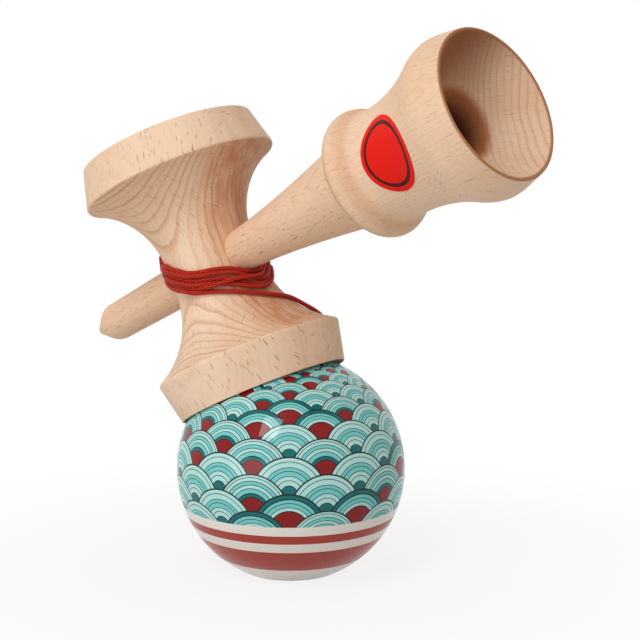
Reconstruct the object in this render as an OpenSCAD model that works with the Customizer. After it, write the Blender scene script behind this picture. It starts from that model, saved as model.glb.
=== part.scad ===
// Cup and ball toy: a turned handle, a double cup, a bored ball, and the cord that joins them.
// Millimetres, +Z up along the ball's axis, origin where the straight wall of the ball's hole begins.
// The toy is as it is put away: the double cup rests on the ball, the ball stands on its hole,
// and the cord is wound round the double cup's waist.

/* [Ball] */
// Radius of the ball
ball_r = 30; // [28:0.5:32]
// Radius of the ball's hole
hole_r = 10.5; // [9:0.5:11.5]
// Radius of the hole's bevelled mouth, on which the ball stands
mouth_r = 12.5; // [12:0.5:13.5]
// Depth of the hole's straight wall
hole_depth = 29; // [26:1:31]
// Radius of the chamber above the hole, which holds the bead
chamber_r = 5; // [4.6:0.1:6]
// Depth of the chamber
chamber_d = 10; // [9.6:0.1:11]
// Radius of the cord hole through the top of the ball
ball_cord_hole_r = 1.2; // [1:0.1:1.6]
// Radius of the countersink round the cord hole
countersink_r = 3; // [2.6:0.1:3.6]
// Depth of the countersink
countersink_d = 1.9; // [1.6:0.1:2.4]

/* [Double cup] */
// Radius of the waist
waist_r = 12.4; // [11.5:0.1:13.5]
// Height from the handle's axis to the large cup's rim
big_h = 36; // [34:0.5:38]
// Outer radius of the large cup's rim
big_rim_r = 23.9; // [23:0.1:25]
// Inner radius of the large cup's rim
big_lip_r = 23.3; // [22:0.1:23.6]
// Radius of the large cup's shoulder
big_shoulder_r = 26.7; // [26:0.1:28]
// Height of the band between the large cup's rim and shoulder
big_band = 10.5; // [9:0.5:12]
// Height from the handle's axis to the small cup's rim
small_h = 36.2; // [34:0.1:38]
// Outer radius of the small cup's rim
small_rim_r = 23; // [22:0.1:24]
// Inner radius of the small cup's rim
small_lip_r = 22.5; // [21.5:0.1:22.8]
// Radius of the small cup's shoulder
small_shoulder_r = 25.5; // [25:0.1:27]
// Height of the band between the small cup's rim and shoulder
small_band = 11; // [9:0.5:12]
// Depth of both bowls
bowl_d = 14; // [12:0.5:15]
// Half height of the straight waist toward the large cup
big_straight = 4.2; // [3:0.1:6]
// Radius of the curve that flares to the large cup
big_flare_r = 23; // [22:0.5:26]
// Half height of the straight waist toward the small cup
small_straight = 3.5; // [2:0.5:5]
// Radius of the curve that flares to the small cup
small_flare_r = 24.5; // [24:0.5:28]
// Radius of the bore that holds the handle
cup_bore_r = 5.8; // [5.6:0.05:6]
// Radius of the cord hole in the waist
cup_cord_hole_r = 1.6; // [1.4:0.1:2]

/* [Handle] */
// Radius of the seat inside the double cup
seat_r = 5.75; // [5.5:0.05:5.75]
// Half length of the seat
seat_l = 13; // [12.5:0.5:14]
// Distance of the spike's point from the double cup's centre
spike_l = 51.5; // [48:0.5:56]
// Radius where the spike's point begins
spike_r = 5.25; // [5:0.05:5.5]
// Length of the spike's point
point_l = 7; // [5:0.5:9]
// Radius of the spike's blunt tip
tip_r = 1; // [0.5:0.1:2]
// Distance of the collar's face from the double cup's centre
collar_u = 59; // [57:0.5:61]
// Radius of the grip where it meets the collar
grip_r = 11.9; // [11:0.1:12.5]
// Radius of the collar
collar_r = 16.7; // [16:0.1:17.5]
// Radius of the neck behind the collar
neck_r = 14.3; // [13.5:0.1:14.7]
// Length from the collar's face to the neck's narrowest place
neck_l = 11; // [10:0.1:12]
// Length from the collar's face to the base cup's rim
base_l = 44.3; // [42:0.1:46]
// Outer radius of the base cup's rim
base_rim_r = 19.3; // [18.5:0.1:20]
// Inner radius of the base cup's rim
base_lip_r = 18.6; // [18:0.1:19]
// Radius of the base cup's shoulder
base_shoulder_r = 20.9; // [20:0.1:22]
// Radius of the curve that flares from the neck to the base cup
neck_flare_r = 46; // [42:1:50]
// Radius of the handle's cord hole
ken_cord_hole_r = 1.1; // [0.9:0.1:1.3]
// Radius of the pocket for the cord's knot
knot_pocket_r = 2.3; // [2:0.1:2.6]

/* [Label] */
// Distance of the label's middle from the neck's narrowest place
label_at = 9.6; // [9.2:0.1:11]
// Length of the label along the handle
label_l = 16.8; // [14:0.2:17.6]
// Width of the label across the handle, seen flat
label_w = 18.5; // [14:0.5:20]
// Turn of the label down round the handle
label_turn = 3; // [0:1:6]
// Thickness of the label
label_t = 0.2; // [0.15:0.05:0.3]

/* [Cord] */
// Diameter of the cord
cord_d = 1.3; // [1.2:0.1:1.6]
// Least height between turns of the winding
turn_pitch = 1.95; // [1.9:0.05:2]
// Angle at which the winding leaves the waist for the ball
wind_end = 1500; // [1480:5:1505]
// Radius of the bead inside the ball
bead_r = 3.5; // [3:0.1:4]
// Height of the bead
bead_h = 5; // [4:0.5:6]
// Radius of the knot under the bead
bead_knot_r = 1.9; // [1.7:0.1:2.2]
// Radius of the knot inside the handle
ken_knot_r = 1.7; // [1.5:0.1:1.9]

/* [Pose] */
// Roll of the double cup about the handle
pose_roll = 4; // [0:1:8]
// Rise of the handle toward its base cup
pose_rise = 25.6; // [20:0.1:30]
// Turn of the handle about the ball's axis
pose_turn = -42.3; // [-60:0.1:-20]
// Gap between the ball and the rim on the side away from the cord
seat_gap = 0.3; // [0.3:0.05:0.5]
// Gap between the ball and the rim where the cord goes in
cord_gap = 1.7; // [1.6:0.05:2]
// Angle round the rim at which the cord goes in
cord_in_deg = 95; // [90:1:100]

/* [Hidden] */
$fn = 96;
wood_colour = [0.90, 0.77, 0.62];
ball_colour = [0.42, 0.77, 0.76];
cord_colour = [0.70, 0.17, 0.13];
label_colour = [0.86, 0.12, 0.08];
bead_colour = [0.85, 0.80, 0.70];
eps = 0.02;
reach = ball_r + spike_l;
cord_r = cord_d / 2;
cord_lay = 0.2;
cord_bend = 2 * cord_d;

// Ball: height of its centre above the mouth, then above the origin
mouth_h = mouth_r - hole_r;
ball_z = sqrt(ball_r * ball_r - mouth_r * mouth_r) - mouth_h;
ball_c = [0, 0, ball_z];

// How the ball lies in the small cup: off centre, so that one side of the rim leaves room for the cord
near_d = ball_r + cord_gap;
far_d = ball_r + seat_gap;
ball_shift = (near_d * near_d - far_d * far_d) / (4 * small_lip_r);
ball_drop = sqrt(far_d * far_d - pow(small_lip_r - ball_shift, 2));
ball_in_cup = [-ball_shift * cos(cord_in_deg), -ball_shift * sin(cord_in_deg), -small_h - ball_drop];

// Turning from the double cup's own axes (X along the handle, Z to the large cup) to the part's axes
function turn_x(p, a) = [p[0], p[1] * cos(a) - p[2] * sin(a), p[1] * sin(a) + p[2] * cos(a)];
function turn_y(p, a) = [p[0] * cos(a) + p[2] * sin(a), p[1], -p[0] * sin(a) + p[2] * cos(a)];
function turn_z(p, a) = [p[0] * cos(a) - p[1] * sin(a), p[0] * sin(a) + p[1] * cos(a), p[2]];
function turned(p) = turn_z(turn_y(turn_x(p, pose_roll), -pose_rise), pose_turn);
cup_c = ball_c - turned(ball_in_cup);
function placed(p) = cup_c + turned(p);
module in_cup_frame() {
    translate(cup_c) rotate([pose_roll, -pose_rise, pose_turn]) children();
}

// Double cup: outline of its waist and flares at a height along its axis
big_band_z = big_h - big_band;
small_band_z = small_h - small_band;
big_bowl_r = (big_lip_r * big_lip_r + bowl_d * bowl_d) / (2 * bowl_d);
small_bowl_r = (small_lip_r * small_lip_r + bowl_d * bowl_d) / (2 * bowl_d);
function arc_rise(r, t) = r - sqrt(r * r - t * t);
function waist_at(z) =
    z > big_straight ? waist_r + arc_rise(big_flare_r, z - big_straight) :
    z < -small_straight ? waist_r + arc_rise(small_flare_r, -z - small_straight) : waist_r;
function waist_slope(z) = (waist_at(z + eps) - waist_at(z - eps)) / (2 * eps);

// Handle: outline of the grip and of the neck at a distance along its axis
grip_power = 1.4;
grip_steps = 12;
neck_lead = 0.5;
base_band = 9.8;
neck_u = collar_u + neck_l;
neck_flat_u = neck_u - neck_lead;
base_u = collar_u + base_l;
neck_end_u = base_u - base_band;
label_u = neck_u + label_at;
neck_steps = 10;
function grip_at(u) = seat_r + (grip_r - seat_r) * pow((u - seat_l) / (collar_u - seat_l), grip_power);
function neck_at(u) = neck_r + arc_rise(neck_flare_r, u - neck_flat_u);

// Smooth line through a list of angle and height pairs, the slope at each pair taken from its neighbours
function line_slope(p, i) = (p[i + 1][1] - p[i - 1][1]) / (p[i + 1][0] - p[i - 1][0]);
function line_part(p, a) = max([for (i = [1 : len(p) - 3]) if (i == 1 || p[i][0] <= a) i]);
function along_line(p, a) =
    let(i = line_part(p, a), w = p[i + 1][0] - p[i][0], t = (a - p[i][0]) / w)
    p[i][1] + (p[i + 1][1] - p[i][1]) * ease(t) + line_slope(p, i) * w * t * pow(1 - t, 2)
        - line_slope(p, i + 1) * w * t * t * (1 - t);
function ease(t) = t * t * (3 - 2 * t);

// Winding: height of the first turn by angle, from the cord hole over the spike and under the grip
wind_start = 90;
turn_line = [[90, 0.2], [115, 5.4], [140, 10.8], [162, 13.8], [184, 14.2], [206, 12], [226, 8.8], [248, 5], [268, 1.8],
    [292, -0.8], [318, -2.6], [342, -4.5], [366, -5.8], [392, -5.2], [420, -3]];
round_line = concat([turn_line[len(turn_line) - 1] - [360, 0]], turn_line, [for (i = [0 : 2]) turn_line[i] + [360, 0]]);
wind_r = waist_r + cord_r + cord_lay;
slope_step = 2;
slope_share = 1.4;
function wave(a) = along_line(round_line, a - 360 * floor((a - wind_start) / 360));
function wave_slope(a) = (wave(a + slope_step) - wave(a - slope_step)) / (2 * slope_step * PI / 180 * wind_r);
function pitch_at(a) = turn_pitch * sqrt(1 + slope_share * pow(wave_slope(a), 2));
function turn_z_at(a) = wave(a) - pitch_at(a) * (a - wind_start) / 360;
// The last turn leaves the waist and runs down the small cup's flare
last_turn = 1080;
leave_from = 290;
leave_over = 40;
leave_line = [[280, -6.4], [304, -8.6], [330, -11], [352, -13.4], [371, -15], [386, -16.4], [398, -19], [409, -21.2],
    [420, -22.6], [450, -24]];
function leave_share(b) = ease(min(max((b - leave_from) / leave_over, 0), 1));
function wind_z(a) =
    let(b = a - last_turn, share = leave_share(b))
    share == 0 ? turn_z_at(a) : turn_z_at(a) * (1 - share) + along_line(leave_line, b) * share;
function on_waist(a, z) =
    let(r = waist_at(z) + (cord_r + cord_lay) * sqrt(1 + pow(waist_slope(z), 2))) [r * cos(a), r * sin(a), z];
function wind_point(a) = on_waist(a, wind_z(a));

// The winding's first stretch comes straight out of the cord hole and bends to the first turn
join_deg = 104;
join_pull = 2.2;
join_steps = 4;
hole_out = 10.4;
winding_from = 9;
ring_deg = 15;
function unit(v) = v / norm(v);
function bezier(a, b, c, d, t) = a * pow(1 - t, 3) + b * 3 * t * pow(1 - t, 2) + c * 3 * t * t * (1 - t) + d * pow(t, 3);
join_end = wind_point(join_deg);
join_dir = unit(wind_point(join_deg + 1) - join_end);
join_points = [for (i = [0 : join_steps - 1])
    bezier([0, hole_out, 0], [0, hole_out + join_pull, 0], join_end - join_dir * join_pull, join_end, i / join_steps)];
last_dir = unit(wind_point(wind_end) - wind_point(wind_end - 1));
function wind_points(step) = concat([[0, winding_from, 0]], join_points,
    [for (a = [join_deg : step : wind_end - step / 2]) wind_point(a)],
    [wind_point(wind_end), wind_point(wind_end) + last_dir * cord_d]);
tail_from = wind_point(wind_end) + last_dir * (cord_d + 2 * eps);

// Tail: route from the flare over the shoulder and under the rim, as angle, radius and height in the cup's axes
tail_route = [[67, 24.7, -23.3], [71, 26.5, -24.6], [76, 27.4, -27], [83, 27.8, -30.5], [91, 27.7, -34],
    [98, 27, -36.8], [100.5, 25.9, -38.3], [100, 24.7, -38.6], [98, 23.4, -37.9]];
// Then over the ball, at one distance from its centre, to the cord hole
over_ball = ball_r + cord_r + 0.2;
rim_point = [small_lip_r * cos(cord_in_deg), small_lip_r * sin(cord_in_deg), -small_h];
gap_dir = unit(turned(rim_point - ball_in_cup));
gap_polar = acos(gap_dir[2]);
gap_turn = atan2(gap_dir[1], gap_dir[0]);
over_steps = 6;
function ball_point(polar) = ball_c + over_ball * [sin(polar) * cos(gap_turn), sin(polar) * sin(gap_turn), cos(polar)];
bend_polar = asin(cord_bend / over_ball);
bend_z = over_ball * cos(bend_polar) - cord_bend;
bend_steps = 3;
bead_gap = 0.3;
function bend_point(t) = ball_c + [cos(gap_turn) * cord_bend * (1 - sin(t)), sin(gap_turn) * cord_bend * (1 - sin(t)),
    bend_z + cord_bend * cos(t)];
bead_top = hole_depth + chamber_d - bead_gap;
bead_bottom = bead_top - bead_h;
knot_top = bead_bottom - eps;
tail_points = concat(
    [placed(tail_from + last_dir * cord_d)],
    [for (q = tail_route) placed([q[1] * cos(q[0]), q[1] * sin(q[0]), q[2]])],
    [for (i = [0 : over_steps]) ball_point(gap_polar + (bend_polar - gap_polar) * i / over_steps)],
    [for (i = [1 : bend_steps]) bend_point(90 * i / bend_steps)],
    [for (z = [ball_z + bend_z - 5, bead_top + 2, bead_bottom + cord_d, knot_top + eps]) [0, 0, z]]);
function spline(p, i, t) =
    let(a = p[max(i - 1, 0)], b = p[i], c = p[i + 1], d = p[min(i + 2, len(p) - 1)])
    0.5 * (2 * b + (c - a) * t + (2 * a - 5 * b + 4 * c - d) * t * t + (3 * b - a - 3 * c + d) * t * t * t);
function smooth_path(p, n) = concat([for (i = [0 : len(p) - 2], k = [0 : n - 1]) spline(p, i, k / n)], [p[len(p) - 1]]);

// A tube of flat triangles along a path, its rings kept from twisting
function tangents(p) = [for (i = [0 : len(p) - 1]) unit(p[min(i + 1, len(p) - 1)] - p[max(i - 1, 0)])];
function square_to(v, t) = unit(v - t * (v * t));
function side_dirs(t) = [for (i = 0, e = square_to([0.3, 0.5, 0.8], t[0]); i < len(t);
    i = i + 1, e = i < len(t) ? square_to(e, t[i]) : e) e];
module tube(p, r, sides) {
    t = tangents(p);
    e = side_dirs(t);
    n = len(p);
    rings = [for (i = [0 : n - 1], k = [0 : sides - 1])
        let(a = 360 * k / sides) p[i] + r * (e[i] * cos(a) + cross(t[i], e[i]) * sin(a))];
    walls = [for (i = [0 : n - 2], k = [0 : sides - 1], h = [0, 1])
        let(a = i * sides + k, b = i * sides + (k + 1) % sides, c = a + sides, d = b + sides)
        h == 0 ? [a, c, b] : [b, c, d]];
    first = [for (k = [1 : sides - 2]) [0, k, k + 1]];
    last = [for (k = [1 : sides - 2]) let(o = (n - 1) * sides) [o, o + k + 1, o + k]];
    polyhedron(points = rings, faces = concat(walls, first, last), convexity = 10);
}

// Least gap of the winding to itself, measured on points a third of a ring apart
check_points = wind_points(ring_deg / 3);
check_apart = 20;
turn_gaps = [for (i = [0 : len(check_points) - 1 - check_apart])
    min([for (j = [i + check_apart : len(check_points) - 1]) norm(check_points[i] - check_points[j])])];
echo(least_gap_of_winding = min(turn_gaps) - cord_d);
echo(cup_centre = cup_c, handle_axis = turned([1, 0, 0]), cup_axis = turned([0, 0, 1]));

module tama() {
    color(ball_colour) difference() {
        translate(ball_c) sphere(ball_r);
        cylinder(h = hole_depth, r = hole_r);
        cylinder(h = hole_depth + chamber_d, r = chamber_r);
        translate([0, 0, -mouth_h - eps]) cylinder(h = mouth_h + eps, r1 = mouth_r + eps, r2 = hole_r);
        translate([0, 0, -mouth_h - reach]) cylinder(h = reach, r = ball_r);
        cylinder(h = ball_z + ball_r + 1, r = ball_cord_hole_r);
        translate([0, 0, ball_z + ball_r - countersink_d])
            cylinder(h = countersink_d, r1 = ball_cord_hole_r, r2 = countersink_r);
    }
}

module sarado_outline() {
    difference() {
        polygon([[0, -small_h], [small_rim_r, -small_h], [small_shoulder_r, -small_band_z],
            [big_shoulder_r, big_band_z], [big_rim_r, big_h], [0, big_h]]);
        translate([waist_r, -small_straight]) square([reach, small_straight + big_straight]);
        intersection() {
            translate([waist_r + big_flare_r, big_straight]) circle(big_flare_r);
            translate([0, big_straight]) square([reach, big_band_z - big_straight]);
        }
        intersection() {
            translate([waist_r + small_flare_r, -small_straight]) circle(small_flare_r);
            translate([0, -small_band_z]) square([reach, small_band_z - small_straight]);
        }
    }
}

module sarado() {
    color(wood_colour) in_cup_frame() difference() {
        rotate_extrude() sarado_outline();
        translate([0, 0, big_h - bowl_d + big_bowl_r]) sphere(big_bowl_r);
        translate([0, 0, -small_h + bowl_d - small_bowl_r]) sphere(small_bowl_r);
        translate([-reach / 2, 0, 0]) rotate([0, 90, 0]) cylinder(h = reach, r = cup_bore_r);
        rotate([-90, 0, 0]) cylinder(h = reach, r = cup_cord_hole_r);
    }
}

// Handle outline as radius and distance, spike first
spike_side = [[0, -spike_l], [tip_r, -spike_l], [spike_r, point_l - spike_l], [seat_r, -seat_l], [seat_r, seat_l]];
grip_side = [for (i = [1 : grip_steps]) let(u = seat_l + (collar_u - seat_l) * i / grip_steps) [grip_at(u), u]];
collar_side = [[collar_r - 2.8, collar_u + 0.2], [collar_r - 1.3, collar_u + 1], [collar_r - 0.4, collar_u + 2.1],
    [collar_r, collar_u + 3.6], [collar_r - 0.2, collar_u + 5], [collar_r - 0.8, collar_u + 6.5],
    [collar_r - 1.9, collar_u + 8.8]];
neck_side = [for (i = [0 : neck_steps]) let(u = neck_u + (neck_end_u - neck_u) * i / neck_steps) [neck_at(u), u]];
base_side = [[base_shoulder_r - 0.1, neck_end_u + 1.2], [base_shoulder_r, neck_end_u + 2.4],
    [base_shoulder_r - 0.2, neck_end_u + 4], [base_rim_r, base_u], [base_lip_r, base_u]];
bowl_side = [[15.8, base_u - 4.4], [12.3, base_u - 8.4], [8.6, base_u - 11.7], [5.2, base_u - 13.9],
    [4.2, base_u - 15.3], [3.4, base_u - 18.1], [2.2, base_u - 20.1], [0, base_u - 20.7]];
knot_floor = 1.4;

module ken() {
    color(wood_colour) in_cup_frame() difference() {
        rotate([0, 90, 0]) rotate_extrude()
            polygon(concat(spike_side, grip_side, collar_side, neck_side, base_side, bowl_side));
        translate([0, -reach / 2, 0]) rotate([-90, 0, 0]) cylinder(h = reach, r = ken_cord_hole_r);
        translate([0, -reach / 2, 0]) rotate([-90, 0, 0]) cylinder(h = reach / 2 - knot_floor, r = knot_pocket_r);
    }
}

// Label: a thin oval shell on the neck, facing out along -Y of the cup's axes
label_lift = 0.03;
label_sides = 40;
label_steps = 8;
function shell_side(lift, turn) = [for (i = [0 : label_steps])
    let(s = turn ? label_steps - i : i, u = label_u + (s / label_steps - 0.5) * (label_l + 1))
    [neck_at(u) + lift, u]];
module ken_label() {
    color(label_colour) in_cup_frame() intersection() {
        rotate([0, 90, 0]) rotate_extrude()
            polygon(concat(shell_side(label_lift, false), shell_side(label_lift + label_t, true)));
        rotate([label_turn, 0, 0]) translate([label_u, 0, 0]) rotate([90, 0, 0]) linear_extrude(reach)
            polygon([for (k = [0 : label_sides - 1])
                let(a = 360 * k / label_sides) [label_l / 2 * cos(a), label_w / 2 * sin(a)]]);
    }
}

module string_winding() {
    color(cord_colour) in_cup_frame() tube(wind_points(ring_deg), cord_r, 6);
}

module string_tail() {
    color(cord_colour) tube(concat([placed(tail_from)], smooth_path(tail_points, 2)), cord_r, 8);
}

lead_from = knot_floor + 0.03;
module string_lead() {
    color(cord_colour) in_cup_frame()
        translate([0, -lead_from, 0]) rotate([-90, 0, 0]) cylinder(h = lead_from + winding_from - eps, r = cord_r);
}

module ken_knot() {
    color(cord_colour) in_cup_frame() translate([0, -lead_from - eps - ken_knot_r, 0]) sphere(ken_knot_r);
}

bead_hole_r = cord_r + 0.15;
bead_round = 1;
module bead() {
    color(bead_colour) translate([0, 0, bead_bottom]) rotate_extrude()
        polygon([[bead_hole_r, 0], [bead_r - bead_round, 0], [bead_r, bead_round], [bead_r, bead_h - bead_round],
            [bead_r - bead_round, bead_h], [bead_hole_r, bead_h]]);
}

module bead_knot() {
    color(cord_colour) translate([0, 0, knot_top - bead_knot_r]) sphere(bead_knot_r);
}

tama();
sarado();
ken();
ken_label();
string_winding();
string_tail();
string_lead();
ken_knot();
bead();
bead_knot();
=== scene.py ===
"""Looks of the cup and ball toy: turned beech handle and double cup, lacquered ball, wound red cord."""
from math import acos, asin, cos, degrees, e, pi, radians, sin, sqrt

import bpy
from mathutils import Euler, Matrix, Vector


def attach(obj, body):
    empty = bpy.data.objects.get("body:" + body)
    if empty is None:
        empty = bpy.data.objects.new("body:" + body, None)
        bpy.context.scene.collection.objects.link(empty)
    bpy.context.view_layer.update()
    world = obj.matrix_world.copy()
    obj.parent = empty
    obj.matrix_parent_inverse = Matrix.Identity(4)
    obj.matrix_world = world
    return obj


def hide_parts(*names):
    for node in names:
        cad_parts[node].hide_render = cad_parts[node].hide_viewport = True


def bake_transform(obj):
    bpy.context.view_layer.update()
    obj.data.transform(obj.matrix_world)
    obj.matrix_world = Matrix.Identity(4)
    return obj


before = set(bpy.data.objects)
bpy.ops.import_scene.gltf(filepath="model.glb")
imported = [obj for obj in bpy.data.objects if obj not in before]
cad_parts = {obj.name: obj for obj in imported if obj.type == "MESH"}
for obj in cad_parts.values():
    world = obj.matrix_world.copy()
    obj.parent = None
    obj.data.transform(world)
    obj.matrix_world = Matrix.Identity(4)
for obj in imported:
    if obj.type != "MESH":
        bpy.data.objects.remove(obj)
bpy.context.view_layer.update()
scene = bpy.context.scene
MM = 0.001

# Sizes in millimetres, as in the part's source
BALL_R = 30.0
BALL_Z = 25.2718
HOLE_R = 10.5
MOUTH_R = 12.5
MOUTH_H = 2.0
HOLE_DEPTH = 29.0
CHAMBER_R = 5.0
CHAMBER_D = 10.0
BALL_CORD_HOLE_R = 1.2
COUNTERSINK_R = 3.0
COUNTERSINK_D = 1.9
WAIST_R = 12.4
BIG_H = 36.0
BIG_RIM_R = 23.9
BIG_LIP_R = 23.3
BIG_SHOULDER_R = 26.7
BIG_BAND = 10.5
SMALL_H = 36.2
SMALL_RIM_R = 23.0
SMALL_LIP_R = 22.5
SMALL_SHOULDER_R = 25.5
SMALL_BAND = 11.0
BOWL_D = 14.0
BIG_STRAIGHT = 4.2
BIG_FLARE_R = 23.0
SMALL_STRAIGHT = 3.5
SMALL_FLARE_R = 24.5
CUP_BORE_R = 5.8
CUP_CORD_HOLE_R = 1.6
SEAT_R = 5.75
SEAT_L = 13.0
SPIKE_L = 51.5
SPIKE_R = 5.25
POINT_L = 7.0
TIP_R = 1.0
COLLAR_U = 59.0
GRIP_R = 11.9
GRIP_POWER = 1.4
COLLAR_R = 16.7
NECK_R = 14.3
NECK_U = 70.0
NECK_FLAT_U = 69.5
NECK_FLARE_R = 46.0
BASE_U = 103.3
BASE_RIM_R = 19.3
BASE_LIP_R = 18.6
BASE_SHOULDER_R = 20.9
KEN_CORD_HOLE_R = 1.1
KNOT_POCKET_R = 2.3
KNOT_FLOOR = 1.4
LABEL_U = 79.6
LABEL_L = 16.8
LABEL_TURN = 3.0
LABEL_W = 18.5
CORD_D = 1.3
CORD_R = CORD_D / 2
BEAD_R = 3.5
BEAD_H = 5.0
BEAD_GAP = 0.3
BEAD_KNOT_R = 1.9
KEN_KNOT_R = 1.7

# Sizes in millimetres of the looks alone
SHOULDER_U = 91.0
LABEL_LIFT = 0.04
LABEL_T = 0.16
CORD_LAY = 0.05
WIND_CORD_R = 0.6

# Fineness of curves and shading
EASE_STEPS = 5
LINE_STEPS = 5
SMOOTH_DEG = 35
CORD_SMOOTH_DEG = 50
MERGE_GAP = MM / 1000

# The double cup's own axes: X along the handle, Z to the large cup
CUP_TURN = Euler((radians(4), radians(-25.6), radians(-42.3)), "XYZ").to_matrix()
CUP_CENTRE = Vector((-20.4685, 14.4964, 77.038))
BALL_CENTRE = Vector((0, 0, BALL_Z))
CUP_PLACE = Matrix.Translation(CUP_CENTRE * MM) @ CUP_TURN.to_4x4()
HANDLE_PLACE = CUP_PLACE @ Matrix.Rotation(radians(90), 4, "Y")


def placed(x, y, z):
    """A point of the double cup's axes in the part's axes, in millimetres."""
    return CUP_CENTRE + CUP_TURN @ Vector((x, y, z))


# Drawing outlines: pairs of radius and height


def arc(centre_r, centre_h, radius, start, end, steps):
    """Points on an arc, with angles in degrees from the outward direction."""
    turns = [radians(start + (end - start) * i / steps) for i in range(steps + 1)]
    return [(centre_r + radius * cos(t), centre_h + radius * sin(t)) for t in turns]


def eased(points, ease):
    """Rounds the corner points named in ease, a dict of index to the length taken off each side."""
    out = []
    for i, (r, h) in enumerate(points):
        if i not in ease:
            out.append((r, h))
            continue
        corner = Vector((r, h))
        before = Vector(points[i - 1])
        after = Vector(points[i + 1])
        start = corner + (before - corner).normalized() * ease[i]
        end = corner + (after - corner).normalized() * ease[i]
        for k in range(EASE_STEPS + 1):
            t = k / EASE_STEPS
            p = start * (1 - t) ** 2 + corner * 2 * t * (1 - t) + end * t * t
            out.append((p.x, p.y))
    return out


def smooth_line(points):
    """A smooth line through points of any dimension."""
    out = []
    for i in range(len(points) - 1):
        a = Vector(points[max(i - 1, 0)])
        b = Vector(points[i])
        c = Vector(points[i + 1])
        d = Vector(points[min(i + 2, len(points) - 1)])
        for k in range(LINE_STEPS):
            t = k / LINE_STEPS
            p = 2 * b + (c - a) * t + (2 * a - 5 * b + 4 * c - d) * t * t
            p = p + (3 * b - a - 3 * c + d) * t ** 3
            out.append(tuple(p * 0.5))
    out.append(tuple(points[-1]))
    return out


# Modelling by hand


def deselect():
    bpy.ops.object.select_all(action="DESELECT")


def pick(piece):
    deselect()
    piece.select_set(True)
    bpy.context.view_layer.objects.active = piece


def edit_all():
    bpy.ops.object.mode_set(mode="EDIT")
    bpy.ops.mesh.select_all(action="SELECT")


def leave_edit():
    bpy.ops.object.mode_set(mode="OBJECT")


def turn_on_lathe(name, outline, sides):
    """Draws an outline in edit mode by extruding a point, then spins it round the Z axis."""
    deselect()
    bpy.ops.mesh.primitive_plane_add(size=MM)
    piece = bpy.context.object
    piece.name = name
    edit_all()
    bpy.ops.mesh.merge(type="CENTER")
    here = Vector((outline[0][0], 0, outline[0][1])) * MM
    bpy.ops.transform.translate(value=here)
    for r, h in outline[1:]:
        there = Vector((r, 0, h)) * MM
        bpy.ops.mesh.extrude_region_move(TRANSFORM_OT_translate={"value": there - here})
        here = there
    bpy.ops.mesh.select_all(action="SELECT")
    bpy.ops.mesh.spin(steps=sides, angle=2 * pi, center=(0, 0, 0), axis=(0, 0, 1))
    bpy.ops.mesh.select_all(action="SELECT")
    bpy.ops.mesh.remove_doubles(threshold=MERGE_GAP)
    bpy.ops.mesh.normals_make_consistent(inside=False)
    leave_edit()
    return piece


def bore(piece, radius, start, end, sides):
    """Cuts a round hole between two points of the piece's own axes, in millimetres."""
    along = Vector(end) - Vector(start)
    middle = (Vector(start) + Vector(end)) / 2 * MM
    deselect()
    bpy.ops.mesh.primitive_cylinder_add(
        vertices=sides, radius=radius * MM, depth=along.length * MM, location=middle,
        rotation=along.to_track_quat("Z", "Y").to_euler())
    cutter = bpy.context.object
    pick(piece)
    cut = piece.modifiers.new("bore", "BOOLEAN")
    cut.operation = "DIFFERENCE"
    cut.solver = "EXACT"
    cut.object = cutter
    bpy.ops.object.modifier_apply(modifier=cut.name)
    bpy.data.objects.remove(cutter, do_unlink=True)


def settle(piece, place, *finishes):
    """Puts a piece in its place, with the place in its mesh, and gives it smooth shading and finishes."""
    pick(piece)
    piece.matrix_world = place
    bpy.ops.object.transform_apply(location=True, rotation=True, scale=True)
    bpy.ops.object.shade_smooth_by_angle(angle=radians(SMOOTH_DEG))
    for finish in finishes:
        piece.data.materials.append(finish)


def lengths_along(points):
    """How far along a line each of its points is."""
    along = [0.0]
    for a, b in zip(points, points[1:]):
        along.append(along[-1] + (b - a).length)
    return along


def lay_cord(name, points, radius, fineness):
    """A round cord along points in millimetres. Its UV map holds turns round it and millimetres along it."""
    line = bpy.data.curves.new(name, "CURVE")
    line.dimensions = "3D"
    run = line.splines.new("POLY")
    run.points.add(len(points) - 1)
    for knot, p in zip(run.points, points):
        knot.co = (p[0] * MM, p[1] * MM, p[2] * MM, 1)
    line.bevel_depth = radius * MM
    line.bevel_resolution = fineness
    line.use_fill_caps = True
    piece = bpy.data.objects.new(name, line)
    scene.collection.objects.link(piece)
    pick(piece)
    bpy.ops.object.convert(target="MESH")
    piece = bpy.context.object
    piece.name = name
    sides = 2 * fineness + 4
    along = lengths_along(points)
    braid = piece.data.uv_layers["UVMap"]
    for face in piece.data.polygons:
        corners = [piece.data.loops[c].vertex_index for c in face.loop_indices]
        seam = {v % sides for v in corners} >= {0, sides - 1}
        for c, v in zip(face.loop_indices, corners):
            turn = 1.0 if seam and v % sides == 0 else (v % sides) / sides
            braid.data[c].uv = (turn, along[min(v // sides, len(along) - 1)])
    bpy.ops.object.shade_smooth_by_angle(angle=radians(CORD_SMOOTH_DEG))
    return piece


# Shader bench

# Places of the two values that a mix node takes, and of the one it gives
MIX_SOCKETS = {"RGBA": (6, 7, 2), "VECTOR": (4, 5, 1)}


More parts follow.
